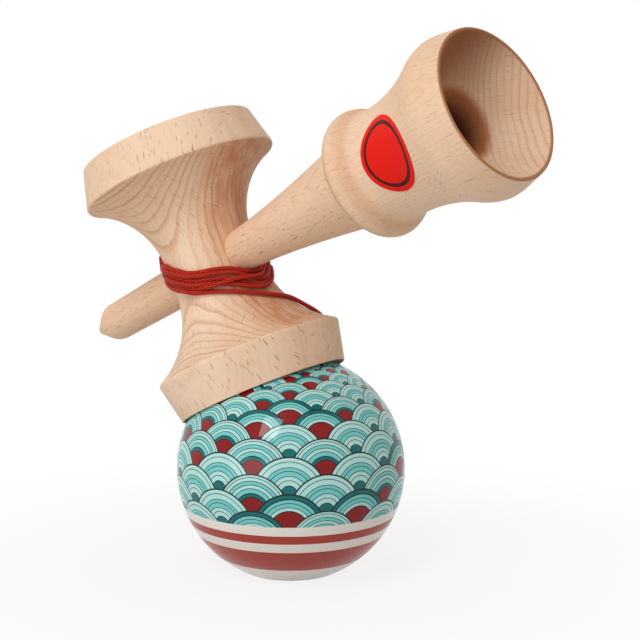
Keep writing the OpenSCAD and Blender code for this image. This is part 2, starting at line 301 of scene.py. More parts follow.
class Bench:
    """Lays out the nodes of a material or a group."""

    def __init__(self, tree):
        self.tree = tree

    def node(self, kind, fed=None, **settings):
        """A new node with its settings, and what is fed to its sockets by name or number."""
        made = self.tree.nodes.new(kind)
        for key, value in settings.items():
            setattr(made, key, value)
        self.dress(made, fed or {})
        return made

    def dress(self, node, fed):
        for name, value in fed.items():
            self.feed(node.inputs[name], value)

    def feed(self, socket, value):
        if isinstance(value, bpy.types.NodeSocket):
            self.tree.links.new(value, socket)
        else:
            socket.default_value = value

    def math(self, operation, *values):
        return self.node("ShaderNodeMath", dict(enumerate(values)), operation=operation).outputs[0]

    def times(self, a, b):
        return self.math("MULTIPLY", a, b)

    def minus(self, a, b):
        return self.math("SUBTRACT", a, b)

    def vector(self, operation, *values):
        made = self.node("ShaderNodeVectorMath", dict(enumerate(values)), operation=operation)
        scalar = operation in ("LENGTH", "DOT_PRODUCT")
        return made.outputs["Value" if scalar else "Vector"]

    def scaled(self, vector, factor):
        fed = {"Vector": vector, "Scale": factor}
        return self.node("ShaderNodeVectorMath", fed, operation="SCALE").outputs["Vector"]

    def split(self, vector):
        return self.node("ShaderNodeSeparateXYZ", {0: vector}).outputs

    def join(self, x, y, z):
        return self.node("ShaderNodeCombineXYZ", {"X": x, "Y": y, "Z": z}).outputs[0]

    def mix(self, factor, a, b, kind="RGBA"):
        first, second, result = MIX_SOCKETS[kind]
        return self.node("ShaderNodeMix", {0: factor, first: a, second: b}, data_type=kind).outputs[result]

    def ramp(self, value, low, high, to_low=0.0, to_high=1.0):
        fed = dict(enumerate((value, low, high, to_low, to_high)))
        return self.node("ShaderNodeMapRange", fed, interpolation_type="SMOOTHSTEP").outputs[0]

    def fall(self, value, low, high):
        return self.ramp(value, low, high, 1.0, 0.0)

    def steps(self, value, stops):
        """A colour ramp of flat steps, from pairs of place and colour."""
        made = self.node("ShaderNodeValToRGB", {0: value})
        ramp = made.color_ramp
        ramp.interpolation = "CONSTANT"
        ramp.elements[0].position, ramp.elements[0].color = stops[0]
        ramp.elements[1].position, ramp.elements[1].color = stops[-1]
        for place, colour in stops[1:-1]:
            ramp.elements.new(place).color = colour
        return made.outputs[0]

    def noise(self, vector, scale, detail=2.0, rough=0.5):
        fed = {"Vector": vector, "Scale": scale, "Detail": detail, "Roughness": rough}
        return self.node("ShaderNodeTexNoise", fed).outputs["Fac"]

    def object_place(self):
        return self.node("ShaderNodeTexCoord").outputs["Object"]

    def object_mm(self):
        return self.scaled(self.object_place(), 1 / MM)


def paint(red, green, blue):
    """A screen colour from 0 to 255 as the light that Blender works in."""
    def light(value):
        share = value / 255
        return share / 12.92 if share <= 0.04045 else ((share + 0.055) / 1.055) ** 2.4
    return (light(red), light(green), light(blue), 1.0)


def group(name, takes, gives):
    """A shader node group, from the names and kinds of its sockets."""
    made = bpy.data.node_groups.new(name, "ShaderNodeTree")
    for way, sockets in (("INPUT", takes), ("OUTPUT", gives)):
        for socket, kind in sockets.items():
            made.interface.new_socket(socket, in_out=way, socket_type="NodeSocket" + kind)
    bench = Bench(made)
    return made, bench, bench.node("NodeGroupInput").outputs, bench.node("NodeGroupOutput")


def finish_of(name):
    """An empty material with its bench and its principled shader."""
    made = bpy.data.materials.new(name)
    made.use_nodes = True
    bench = Bench(made.node_tree)
    shader = made.node_tree.nodes["Principled BSDF"]
    return made, bench, shader


def raise_surface(bench, shader, height, distance):
    bump = bench.node("ShaderNodeBump", {"Height": height, "Distance": distance, "Strength": 1.0})
    bench.feed(shader.inputs["Normal"], bump.outputs[0])


# Beech: growth rings, short dark flecks along the grain and fine pores, in the wood's own axes,
# with X across the rings' sides, Y through the rings and Z along the grain

BEECH_LIGHT = paint(240, 214, 190)
BEECH_MID = paint(231, 199, 171)
BEECH_LINE = paint(190, 140, 100)
BEECH_FLECK = paint(140, 84, 48)
BEECH_WARM = paint(224, 180, 145)
BEECH_END = paint(198, 142, 96)
DRAWN_OUT = 0.35
# Drifts of the rings: scale and reach
SWAY = (0.045, 3.0)
RIPPLE = (0.3, 0.45)
LATE_WOOD_FROM = 0.5
LATE_WOOD_PEAK = 0.94
FAINTEST_YEAR = 0.35
# Flecks: sizes of a cell and of its mark across, through and along the grain, share of cells marked, shift
SMALL_FLECKS = ((0.8, 2.4, 2.4), (0.08, 0.9, 1.0), 0.75, (3.0, 2.1, 3.9))
LARGE_FLECKS = ((1.9, 3.6, 4.2), (0.09, 1.4, 1.7), 0.8, (11.0, 7.7, 14.3))
SMALL_FLECK_SHADE = 0.75
FLECK_BEND = 0.06
FLECK_CORE = 0.45
FLECK_FADE = 0.25
# Pores: waves a millimetre each way, then scale, detail and roughness of their noise
PORE_SHAPE = (4.5, 3.0, 0.3)
PORES = (1.0, 3.0, 0.6)
PORE_TINT = 0.35
PORE_RISE = 0.25
FLECK_SINK = 0.45
RING_SINK = 0.2
SMOOTHEST = 0.5
ROUGHEST = 0.62
WOOD_BUMP = 0.06 * MM
# Fades by how squarely a surface faces along and across the grain
END_GRAIN_FADE = (0.15, 0.8)
EDGE_ON_FADE = (0.85, 0.99)
EDGE_ON_LEFT = 0.35


def make_beech():
    made, b, take, give = group(
        "beech_grain",
        {"Vector": "Vector", "Ring Spacing": "Float", "Pith Distance": "Float", "Ring Strength": "Float",
         "Fleck Strength": "Float"},
        {"Color": "Color", "Height": "Float", "Roughness": "Float"})
    place = b.scaled(take["Vector"], 1 / MM)
    x, y, z = b.split(place)
    long_grain = b.join(x, y, b.times(z, DRAWN_OUT))

    def wander(scale, reach):
        """A slow drift of the rings, to both sides."""
        return b.times(b.minus(b.noise(long_grain, scale), 0.5), reach)

    sway = wander(*SWAY)
    ripple = wander(*RIPPLE)
    from_pith = b.vector("LENGTH", b.join(x, b.math("ADD", y, take["Pith Distance"]), 0.0))
    depth = b.math("ADD", b.math("ADD", from_pith, sway), ripple)
    count = b.math("DIVIDE", depth, take["Ring Spacing"])
    share = b.math("FRACT", count)
    darkening = b.ramp(share, LATE_WOOD_FROM, LATE_WOOD_PEAK)
    ending = b.fall(share, LATE_WOOD_PEAK, 1.0)
    late = b.times(darkening, ending)
    year = b.node("ShaderNodeTexWhiteNoise", noise_dimensions="1D")
    b.dress(year, {"W": b.math("FLOOR", count)})
    dark_year = b.ramp(year.outputs["Value"], 0.0, 1.0, FAINTEST_YEAR, 1.0)
    ring = b.times(b.times(late, dark_year), take["Ring Strength"])

    def flecks(cell, size, share_kept, shift):
        """Thin lens-shaped marks on a loose grid of cells, all sizes in millimetres."""
        moved = b.vector("ADD", place, shift)
        bent = b.vector("ADD", moved, b.join(b.times(sway, FLECK_BEND), 0.0, 0.0))
        scaled = b.vector("DIVIDE", bent, cell)
        fed = {"Vector": scaled, "Scale": 1.0}
        cells = b.node("ShaderNodeTexVoronoi", fed, voronoi_dimensions="3D", feature="F1")
        off = b.vector("MULTIPLY", b.vector("SUBTRACT", scaled, cells.outputs["Position"]), cell)
        off = b.vector("DIVIDE", off, size)
        mark = b.fall(b.vector("LENGTH", off), FLECK_CORE, 1.0)
        tint = b.node("ShaderNodeSeparateColor", {0: cells.outputs["Color"]})
        kept = b.ramp(tint.outputs[0], 1 - share_kept, 1 - share_kept + FLECK_FADE)
        return b.times(mark, kept)

    small = b.times(flecks(*SMALL_FLECKS), SMALL_FLECK_SHADE)
    fleck = b.math("MAXIMUM", small, flecks(*LARGE_FLECKS))
    fleck = b.times(fleck, take["Fleck Strength"])
    fine = b.noise(b.vector("MULTIPLY", place, PORE_SHAPE), *PORES)
    broad = b.noise(long_grain, scale=0.06, detail=1.0)
    wood = b.mix(b.ramp(broad, 0.3, 0.7), BEECH_LIGHT, BEECH_MID)
    wood = b.mix(b.times(b.ramp(fine, 0.35, 0.75), PORE_TINT), wood, BEECH_WARM)
    wood = b.mix(ring, wood, BEECH_LINE)
    wood = b.mix(fleck, wood, BEECH_FLECK)
    height = b.minus(b.times(fine, PORE_RISE), b.times(fleck, FLECK_SINK))
    height = b.minus(height, b.times(ring, RING_SINK))
    rough = b.ramp(fine, 0.2, 0.8, SMOOTHEST, ROUGHEST)
    b.dress(give, {"Color": wood, "Height": height, "Roughness": rough})
    return made


def own_axes(bench, turn, centre):
    """Object coordinates in a piece's own turned axes, from a centre."""
    back = turn.inverted().to_euler("XYZ")
    fed = {"Vector": bench.object_place(), "Rotation": back, "Location": -(back.to_matrix() @ centre)}
    return bench.node("ShaderNodeMapping", fed, vector_type="POINT").outputs[0]


class Wood:
    """Sanded beech in a turned piece's own axes. Stains are laid on before it is done."""

    def __init__(self, name, place, beech, spin, spacing, pith):
        self.made, self.bench, self.shader = finish_of(name)
        b = self.bench
        turn = place.to_3x3() @ Matrix.Rotation(radians(spin), 3, "Z")
        here = own_axes(b, turn, place.to_translation())
        fed = {"Vector": here, "Ring Spacing": spacing, "Pith Distance": pith}
        self.grain = b.node("ShaderNodeGroup", fed, node_tree=beech)
        self.x, self.y, self.z = b.split(b.scaled(here, 1 / MM))
        self.from_axis = b.vector("LENGTH", b.join(self.x, self.y, 0.0))
        facing = b.node("ShaderNodeTexCoord").outputs["Normal"]
        along = place.to_3x3() @ Vector((0, 0, 1))
        end_on = b.math("ABSOLUTE", b.vector("DOT_PRODUCT", facing, along))
        self.end_grain = b.ramp(end_on, *END_GRAIN_FADE)
        across = turn @ Vector((1, 0, 0))
        quarter = b.math("ABSOLUTE", b.vector("DOT_PRODUCT", facing, across))
        self.edge_on = b.ramp(quarter, *EDGE_ON_FADE, 1.0, EDGE_ON_LEFT)
        self.colour = self.grain.outputs["Color"]

    def flecks(self, strength):
        """Flecks are seen edge on, and fade where the surface runs along them."""
        self.bench.dress(self.grain, {"Fleck Strength": self.bench.times(strength, self.edge_on)})

    def stain(self, mask, strength, tint):
        self.colour = self.bench.mix(self.bench.times(mask, strength), self.colour, tint)

    def done(self):
        b = self.bench
        rough = self.grain.outputs["Roughness"]
        b.dress(self.shader, {"Base Color": self.colour, "Roughness": rough, "Specular IOR Level": 0.15})
        raise_surface(b, self.shader, self.grain.outputs["Height"], WOOD_BUMP)
        return self.made


# Double cup's wood. Fades are pairs of millimetres, and stains are pairs of strength and tint.

# Strengths on the flares and on the bands
CUP_RINGS = (0.8, 0.12)
CUP_FLECKS = (0.7, 0.95)
# Width of the bands' edges on either side
FLARE_SIDE = 0.4
BAND_SIDE = 0.2
# Heartwood on one side of the cup, which also stands for painted warm shade on that side
HEARTWOOD_AND_SHADE = (0.78, paint(190, 114, 66))
HEART_SHADE_ON_BAND = 0.35
HEART_SHADE_X_FADE = (-8.0, -3.0)
HEART_SHADE_Y_FADE = (2.0, 12.0)
HEART_SHADE_FAINTEST = 0.35
STREAK_DRAWN_OUT = 0.12
PALE_WOOD = (0.18, paint(243, 220, 197))


def cup_finish(beech):
    """Rings show on the flares and hardly on the bands. One side is warmer heartwood, and the same stain
    paints the warm shade on that side.
    """
    wood = Wood("cup_beech", CUP_PLACE, beech, spin=178, spacing=1.7, pith=300.0)
    b = wood.bench
    big_edge = BIG_H - BIG_BAND
    small_edge = SMALL_BAND - SMALL_H
    on_big = b.ramp(wood.z, big_edge - FLARE_SIDE, big_edge + BAND_SIDE)
    on_small = b.fall(wood.z, small_edge - BAND_SIDE, small_edge + FLARE_SIDE)
    on_band = b.math("MAXIMUM", on_big, on_small)
    b.dress(wood.grain, {"Ring Strength": b.ramp(on_band, 0.0, 1.0, *CUP_RINGS)})
    wood.flecks(b.ramp(on_band, 0.0, 1.0, *CUP_FLECKS))
    wood.stain(wood.end_grain, strength=0.12, tint=BEECH_END)
    streak = b.noise(b.join(wood.x, wood.y, b.times(wood.z, STREAK_DRAWN_OUT)), scale=0.35)
    # Heartwood stain on one side, partly painted warm shade
    in_x = b.fall(wood.x, *HEART_SHADE_X_FADE)
    in_y = b.fall(wood.y, *HEART_SHADE_Y_FADE)
    side = b.times(in_x, in_y)
    heart_and_shade = b.times(side, b.ramp(streak, 0.25, 0.75, HEART_SHADE_FAINTEST, 1.0))
    heart_and_shade = b.times(heart_and_shade, b.ramp(on_band, 0.0, 1.0, 1.0, HEART_SHADE_ON_BAND))
    wood.stain(heart_and_shade, *HEARTWOOD_AND_SHADE)
    wood.stain(on_big, *PALE_WOOD)
    return wood.done()


# Handle's wood, in the same way

# Rings outside the bowl and in it, and flecks off the grip and on it
HANDLE_RINGS = (0.17, 0.55)
HANDLE_FLECKS = (0.5, 0.95)
BOWL_WALL_R = 18.9
BOWL_WALL_SLOPE = 0.35
BOWL_SEEN_D = 21.5
GRIP_FADE = (COLLAR_U - 6.0, COLLAR_U + 8.0)
WARM_FADE = (COLLAR_U + 6.0, COLLAR_U + 14.0)
WARM_LEFT = 0.35
WARM_WOOD = (0.25, paint(212, 158, 116))
COLLAR_IN_FADE = (COLLAR_U - 1.5, COLLAR_U)
COLLAR_OUT_FADE = (NECK_U - 2.0, NECK_U + 3.0)
BOWL_GRAIN_AND_SHADE = (0.08, paint(200, 144, 100))
SHADED_FADE = (-24.0, 2.0)
SHADED_WOOD = (0.95, paint(140, 80, 42))
HALO_FADE = (8.2, 10.3)
HALO_BROWN = (0.85, paint(164, 88, 30))
PIT_FADE = (5.0, 8.8)
PIT_BURN_AND_SHADE = (1.0, paint(58, 12, 0))
RIM_FADE = (0.1, 0.5)
RIM_BROWN = (0.85, paint(164, 102, 58))


def handle_finish(beech):
    """Dense flecks on the grip. The base cup's rim is browned by the cutter, and its pit is browned by it
    and painted near black as the deep hole's shade.
    """
    wood = Wood("handle_beech", HANDLE_PLACE, beech, spin=-20, spacing=1.25, pith=24.0)
    b = wood.bench
    below_rim = b.minus(BASE_U, wood.z)
    wall = b.minus(BOWL_WALL_R, b.times(below_rim, BOWL_WALL_SLOPE))
    within = b.math("LESS_THAN", wood.from_axis, wall)
    in_bowl = b.times(within, b.math("LESS_THAN", below_rim, BOWL_SEEN_D))
    b.dress(wood.grain, {"Ring Strength": b.ramp(in_bowl, 0.0, 1.0, *HANDLE_RINGS)})
    on_grip = b.fall(wood.z, *GRIP_FADE)
    wood.flecks(b.ramp(on_grip, 0.0, 1.0, *HANDLE_FLECKS))
    wood.stain(b.ramp(wood.z, *WARM_FADE, 1.0, WARM_LEFT), *WARM_WOOD)
    past_face = b.ramp(wood.z, *COLLAR_IN_FADE)
    on_collar = b.times(past_face, b.fall(wood.z, *COLLAR_OUT_FADE))
    wood.stain(b.times(wood.end_grain, on_collar), strength=0.75, tint=BEECH_END)
    # A darker, warmer tone over the bowl's inside: partly its end grain, partly painted shade in the hollow
    wood.stain(in_bowl, *BOWL_GRAIN_AND_SHADE)
    shaded = b.fall(b.math("ADD", wood.x, wood.y), *SHADED_FADE)
    wood.stain(b.times(in_bowl, shaded), *SHADED_WOOD)
    halo = b.fall(wood.from_axis, *HALO_FADE)
    wood.stain(b.times(in_bowl, halo), *HALO_BROWN)
    # The pit: browned by the cutter, and painted near black as shade in the deep hole
    pit = b.fall(wood.from_axis, *PIT_FADE)
    wood.stain(b.times(in_bowl, pit), *PIT_BURN_AND_SHADE)
    wood.stain(b.fall(below_rim, *RIM_FADE), *RIM_BROWN)
    return wood.done()


def ball_wood_finish(beech):
    """Bare wood inside the ball's holes."""
    place = Matrix.Translation(BALL_CENTRE * MM)
    wood = Wood("ball_beech", place, beech, spin=40, spacing=2.4, pith=52.0)
    wood.bench.dress(wood.grain, {"Ring Strength": 0.5})
    wood.flecks(strength=0.8)
    wood.stain(wood.end_grain, strength=0.4, tint=BEECH_END)
    return wood.done()


beech_grain = make_beech()
cup_wood = cup_finish(beech_grain)
handle_wood = handle_finish(beech_grain)
ball_wood = ball_wood_finish(beech_grain)


# Lacquered ball: rows of fans over stripes

MINT = paint(174, 222, 222)
AQUA = paint(112, 200, 201)
TEAL = paint(2, 106, 110)
DARK_RED = paint(134, 8, 6)
INK = paint(22, 26, 28)
BRICK = paint(166, 58, 46)
STRIPE_WHITE = paint(232, 228, 223)
FANS_ROUND = 10
ROW_HEIGHT = 0.25
ROWS_OVER = 3
POLE_MARGIN = 1.0005
# Bands of each kind of fan from its middle out, as pairs of share and colour
RED_FAN = [
    (0.0, DARK_RED), (0.36, INK), (0.39, TEAL), (0.46, INK), (0.485, AQUA), (0.59, INK), (0.61, MINT),
    (0.69, INK), (0.71, AQUA), (0.79, INK), (0.81, MINT), (0.89, INK), (0.91, MINT),
    (0.955, INK), (1.0, INK)]
PALE_FAN = [
    (0.0, TEAL), (0.2, INK), (0.225, MINT), (0.34, INK), (0.36, MINT), (0.46, INK), (0.48, AQUA),
    (0.59, INK), (0.61, AQUA), (0.69, INK), (0.71, MINT), (0.84, INK), (0.86, MINT),
    (0.955, INK), (1.0, INK)]
TEAL_FAN = [
    (0.0, DARK_RED), (0.5, INK), (0.53, MINT), (0.61, INK), (0.63, AQUA), (0.73, INK), (0.75, AQUA),
    (0.83, INK), (0.86, TEAL), (0.955, INK), (1.0, INK)]
PALE_ABOVE = 0.38
TEAL_ABOVE = 0.72
# Stripes as shares of the ball's height, and the crown as shares of its radius
STRIPES = [
    (0.0, STRIPE_WHITE), (0.122, BRICK), (0.2252, STRIPE_WHITE), (0.2692, BRICK), (0.3082, STRIPE_WHITE),
    (0.3508, INK)]
CROWN = [(0.0, TEAL), (0.965, INK), (0.972, AQUA), (1.0, AQUA)]
FANS_FROM = -8.95
CROWN_FROM = 28.7


def make_fan_row():
    """One row of fans: how far a point is from its fan's middle, and which fan it is in."""
    made, b, take, give = group(
        "fan_row", {"Along": "Float", "Up": "Float", "Row": "Float"},
        {"From Middle": "Float", "Fan": "Vector"})
    odd = b.math("MODULO", b.math("ABSOLUTE", take["Row"]), 2.0)
    along = b.math("ADD", take["Along"], b.times(odd, 0.5))
    dx = b.minus(b.math("FRACT", along), 0.5)
    dy = b.minus(take["Up"], b.times(take["Row"], ROW_HEIGHT))
    far = b.times(b.vector("LENGTH", b.join(dx, dy, 0.0)), 2.0)
    fan = b.join(b.math("MODULO", b.math("FLOOR", along), FANS_ROUND), take["Row"], 0.0)
    b.dress(give, {"From Middle": far, "Fan": fan})
    return made


def ball_finish():
    made, b, shader = finish_of("ball_lacquer")
    x, y, z = b.split(b.object_mm())
    up = b.minus(z, BALL_Z)
    turn = b.math("DIVIDE", b.math("ARCTAN2", y, x), 2 * pi)
    along = b.times(b.math("ADD", turn, 1.0), FANS_ROUND)
    lift = b.math("DIVIDE", up, BALL_R * POLE_MARGIN)
    ratio = b.math("DIVIDE", b.math("ADD", 1.0, lift), b.minus(1.0, lift))
    spread = b.math("LOGARITHM", ratio, e)
    rise = b.times(spread, FANS_ROUND / (4 * pi))
    first = b.math("CEIL", b.times(b.minus(rise, 0.5), 1 / ROW_HEIGHT))
    fan_row = make_fan_row()
    rows = []
    for k in range(ROWS_OVER):
        fed = {"Along": along, "Up": rise, "Row": b.math("ADD", first, float(k))}
        rows.append(b.node("ShaderNodeGroup", fed, node_tree=fan_row))
    far = rows[-1].outputs["From Middle"]
    fan = rows[-1].outputs["Fan"]
    for row in reversed(rows[:-1]):
        inside = b.math("LESS_THAN", row.outputs["From Middle"], 1.0)
        far = b.math("ADD", b.times(inside, row.outputs["From Middle"]),
                     b.times(b.minus(1.0, inside), far))
        fan = b.mix(inside, fan, row.outputs["Fan"], "VECTOR")
    chance = b.node("ShaderNodeTexWhiteNoise", {"Vector": fan}, noise_dimensions="3D")
    which = chance.outputs["Value"]
    pale = b.math("GREATER_THAN", which, PALE_ABOVE)
    teal = b.math("GREATER_THAN", which, TEAL_ABOVE)
    pattern = b.mix(pale, b.steps(far, RED_FAN), b.steps(far, PALE_FAN))
    pattern = b.mix(teal, pattern, b.steps(far, TEAL_FAN))
    stripes = b.steps(b.math("DIVIDE", b.math("ADD", up, BALL_R), 2 * BALL_R), STRIPES)
    crown = b.steps(b.math("DIVIDE", up, BALL_R), CROWN)
    colour = b.mix(b.math("GREATER_THAN", up, FANS_FROM), stripes, pattern)
    colour = b.mix(b.math("GREATER_THAN", up, CROWN_FROM), colour, crown)
    b.dress(shader, {
        "Base Color": colour, "Roughness": 0.4, "Specular IOR Level": 0.05, "Coat Weight": 0.55,
        "Coat IOR": 1.43, "Coat Roughness": 0.03})
    return made


# Braided cord: two sets of yarns that cross on the cord's own UV map

YARNS = 6
BRAID_PITCH = 1.05
BRAID_BUMP = 0.07 * MM
YARN_SHADE = paint(84, 4, 3)
YARN_RED = paint(214, 36, 22)
YARN_GLINT = paint(244, 122, 90)
GLINT_STRENGTH = 0.85
# Fuzz: scale, detail and roughness of its noise
FUZZ = (1.6, 3.0, 0.7)


def cord_finish():
    made, b, shader = finish_of("braided_cord")
    uv = b.node("ShaderNodeUVMap", uv_map="UVMap").outputs[0]
    u, v, _ = b.split(uv)
    round_ = b.times(u, 2 * pi * YARNS)
    along = b.times(v, 2 * pi / BRAID_PITCH)
    one = b.math("SINE", b.math("ADD", round_, along))
    two = b.math("SINE", b.minus(round_, along))
    yarn = b.math("MAXIMUM", one, two)
    fuzz = b.noise(b.object_mm(), *FUZZ)
    # Painted shade: the gaps between the yarns are coloured darker than their crests
    colour = b.mix(b.ramp(yarn, 0.0, 0.9), YARN_SHADE, YARN_RED)
    # Painted highlight: light glints on the yarn crossings, broken up by fuzz
    crossing = b.ramp(b.math("MINIMUM", one, two), 0.1, 0.8)
    painted_glint = b.times(crossing, b.ramp(fuzz, 0.3, 0.6, 0.4, 1.0))
    colour = b.mix(b.times(painted_glint, GLINT_STRENGTH), colour, YARN_GLINT)
    b.dress(shader, {"Base Color": colour, "Roughness": 0.5, "Specular IOR Level": 0.1})
    raise_surface(b, shader, yarn, BRAID_BUMP)
    return made


# Label's film. The ring's fades are shares of the label's half length and half width.

FILM_RED = paint(226, 18, 6)
FILM_BRIGHT = paint(238, 32, 14)
FILM_RING = paint(70, 18, 14)
FILM_CLOUD = 0.4
FILM_BUMP = 0.03 * MM
RING_IN_FADE = (0.765, 0.785)
RING_OUT_FADE = (0.865, 0.885)


def label_finish():
    """Red film with a dark ring, its middle bare."""
    made, b, shader = finish_of("label_film")
    turn = CUP_TURN @ Matrix.Rotation(radians(LABEL_TURN), 3, "X")
    here = own_axes(b, turn, placed(LABEL_U, 0, 0) * MM)
    x, _, z = b.split(b.scaled(here, 1 / MM))
    far = b.join(b.math("DIVIDE", x, LABEL_L / 2), b.math("DIVIDE", z, LABEL_W / 2), 0.0)
    across = b.vector("LENGTH", far)
    ring = b.times(b.ramp(across, *RING_IN_FADE), b.fall(across, *RING_OUT_FADE))
    film = b.noise(b.object_mm(), scale=1.5)
    red = b.mix(b.times(film, FILM_CLOUD), FILM_RED, FILM_BRIGHT)
    colour = b.mix(ring, red, FILM_RING)
    b.dress(shader, {"Base Color": colour, "Roughness": 0.5, "Specular IOR Level": 0.15})
    raise_surface(b, shader, film, FILM_BUMP)
    return made


BEAD_LIGHT = paint(226, 214, 190)
BEAD_DARK = paint(206, 188, 158)


def bead_finish():
    made, b, shader = finish_of("bead_gloss")
    cloud = b.noise(b.object_mm(), scale=0.6)
    b.dress(shader, {"Base Color": b.mix(cloud, BEAD_LIGHT, BEAD_DARK), "Roughness": 0.25})
    return made


# Ball: sphere with a bevelled mouth, a stepped hole and a countersunk cord hole

SINK_EASE = 0.25
MOUTH_EASE = 0.3
LACQUER_DEPTH = 0.12


def make_ball():
    start = degrees(asin(-(BALL_Z + MOUTH_H) / BALL_R))
    sink_z = sqrt(BALL_R ** 2 - COUNTERSINK_R ** 2)
    end = degrees(asin(sink_z / BALL_R))
    skin = arc(0, BALL_Z, BALL_R, start, end, steps=110)
    roof = HOLE_DEPTH + CHAMBER_D
    inside = [
        (BALL_CORD_HOLE_R, BALL_Z + BALL_R - COUNTERSINK_D), (BALL_CORD_HOLE_R, roof), (CHAMBER_R, roof),
        (CHAMBER_R, HOLE_DEPTH), (HOLE_R, HOLE_DEPTH), (HOLE_R, 0), (MOUTH_R, -MOUTH_H)]
    outline = skin + inside
    sink_rim = len(skin) - 1
    mouth = len(outline) - 2
    outline = eased(outline, {sink_rim: SINK_EASE, mouth: MOUTH_EASE})
    ball = turn_on_lathe("ball", outline, sides=192)
    settle(ball, Matrix.Identity(4), ball_finish(), ball_wood)
    for face in ball.data.polygons:
        if (Vector(face.center) / MM - BALL_CENTRE).length < BALL_R - LACQUER_DEPTH:
            face.material_index = 1
    return ball


# Double cup

FLARE_STEPS = 64
BOWL_STEPS = 26
SMALL_LIP_EASE = 0.15
RIM_EASE = 0.2
SHOULDER_EASE = 0.75
CUP_BORE_REACH = 30


def waist_at(z):
    if z > BIG_STRAIGHT:
        return WAIST_R + BIG_FLARE_R - sqrt(BIG_FLARE_R ** 2 - (z - BIG_STRAIGHT) ** 2)
    if z < -SMALL_STRAIGHT:
        return WAIST_R + SMALL_FLARE_R - sqrt(SMALL_FLARE_R ** 2 - (-z - SMALL_STRAIGHT) ** 2)
    return WAIST_R


def bowl(lip_r, depth, height, steps):
    """A round bowl's section from its middle to its lip, sunk from a height."""
    radius = (lip_r ** 2 + depth ** 2) / (2 * depth)
    reach = degrees(asin(lip_r / radius))
    turns = [radians(reach * i / steps) for i in range(steps + 1)]
    return [(radius * sin(t), height - depth + radius * (1 - cos(t))) for t in turns]


def make_double_cup():
    small_band_z = SMALL_H - SMALL_BAND
    big_band_z = BIG_H - BIG_BAND
    low = bowl(SMALL_LIP_R, BOWL_D, SMALL_H, BOWL_STEPS)
    outline = [(r, -h) for r, h in low]
    lip = len(outline) - 1
    outline += [(SMALL_RIM_R, -SMALL_H), (SMALL_SHOULDER_R, -small_band_z)]
    shoulder = len(outline) - 1
    for i in range(1, FLARE_STEPS):
        z = -small_band_z + (small_band_z + big_band_z) * i / FLARE_STEPS
        outline.append((waist_at(z), z))
    outline += [(BIG_SHOULDER_R, big_band_z), (BIG_RIM_R, BIG_H)]
    top = len(outline) - 1
    outline += list(reversed(bowl(BIG_LIP_R, BOWL_D, BIG_H, BOWL_STEPS)))
    corners = {lip: SMALL_LIP_EASE, lip + 1: RIM_EASE, shoulder: SHOULDER_EASE, top - 1: SHOULDER_EASE,
               top: RIM_EASE, top + 1: RIM_EASE}
    cup = turn_on_lathe("double_cup", eased(outline, corners), sides=160)
    bore(cup, CUP_BORE_R, (-CUP_BORE_REACH, 0, 0), (CUP_BORE_REACH, 0, 0), sides=96)
    bore(cup, CUP_CORD_HOLE_R, (0, 0, 0), (0, CUP_BORE_REACH, 0), sides=32)
    settle(cup, CUP_PLACE, cup_wood)
    return cup


# Handle, turned along Z and then laid along the double cup's X

TIP_EASE = 0.7
POINT_EASE = 1.6
SEAT_EASE = 2.0
BASE_RIM_EASE = 0.25
GRIP_STEPS = 30
NECK_STEPS = 26
PAST_NECK = 2
# Collar: how far in from its radius, and how far on from its face
COLLAR_ROUND = ((2.8, 0.2), (1.3, 1), (0.4, 2.1), (0, 3.6), (0.2, 5), (0.8, 6.5), (1.9, 8.8))
# Base cup's shoulder: how far in from its radius, and how far on from where it starts
SHOULDER_ROUND = ((0.5, 2), (0.1, 3.9), (0.13, 5.5), (0.35, 6.9))
# Base cup's bowl and pit: radius and depth below the rim
BASE_BOWL = ((15.8, 4.4), (12.3, 8.4), (9.1, 11.2), (8.2, 12.3), (6.6, 14.6), (4.9, 16.8), (3.2, 18.9),
             (1.6, 20.3), (0, 20.7))
HANDLE_BORE_REACH = 20


def neck_at(u):
    return NECK_R + NECK_FLARE_R - sqrt(NECK_FLARE_R ** 2 - (u - NECK_FLAT_U) ** 2)


def make_handle():
    outline = [
        (0, -SPIKE_L), (TIP_R, -SPIKE_L), (SPIKE_R, POINT_L - SPIKE_L), (SEAT_R, -SEAT_L), (SEAT_R, SEAT_L)]
    outline = eased(outline, {1: TIP_EASE, 2: POINT_EASE, 3: SEAT_EASE})
    for i in range(1, GRIP_STEPS + 1):
        share = i / GRIP_STEPS
        r = SEAT_R + (GRIP_R - SEAT_R) * share ** GRIP_POWER
        outline.append((r, SEAT_L + (COLLAR_U - SEAT_L) * share))
    from_u = NECK_U + PAST_NECK
    collar = [(COLLAR_R - less, COLLAR_U + on) for less, on in COLLAR_ROUND]
    collar += [(neck_at(NECK_U), NECK_U), (neck_at(from_u), from_u)]
    outline += smooth_line(collar)
    for i in range(1, NECK_STEPS + 1):
        u = from_u + (SHOULDER_U - from_u) * i / NECK_STEPS
        outline.append((neck_at(u), u))
    shoulder = [(neck_at(SHOULDER_U), SHOULDER_U)]
    shoulder += [(BASE_SHOULDER_R - less, SHOULDER_U + on) for less, on in SHOULDER_ROUND]
    outline += smooth_line(shoulder)[1:]
    outline += [(BASE_RIM_R, BASE_U), (BASE_LIP_R, BASE_U)]
    rim = len(outline) - 2
    inside = ((BASE_LIP_R, 0),) + BASE_BOWL
    outline += [(r, BASE_U - deep) for r, deep in smooth_line(inside)[1:]]
    outline = eased(outline, {rim: BASE_RIM_EASE, rim + 1: BASE_RIM_EASE})
    handle = turn_on_lathe("handle", outline, sides=144)
    # Turned along Z, the handle's Y is the double cup's Y
    outside = (0, -HANDLE_BORE_REACH, 0)
    bore(handle, KEN_CORD_HOLE_R, outside, (0, HANDLE_BORE_REACH, 0), sides=24)
    bore(handle, KNOT_POCKET_R, outside, (0, -KNOT_FLOOR, 0), sides=40)
    settle(handle, HANDLE_PLACE, handle_wood)
    return handle


LABEL_RINGS = 12
LABEL_DROP = 30


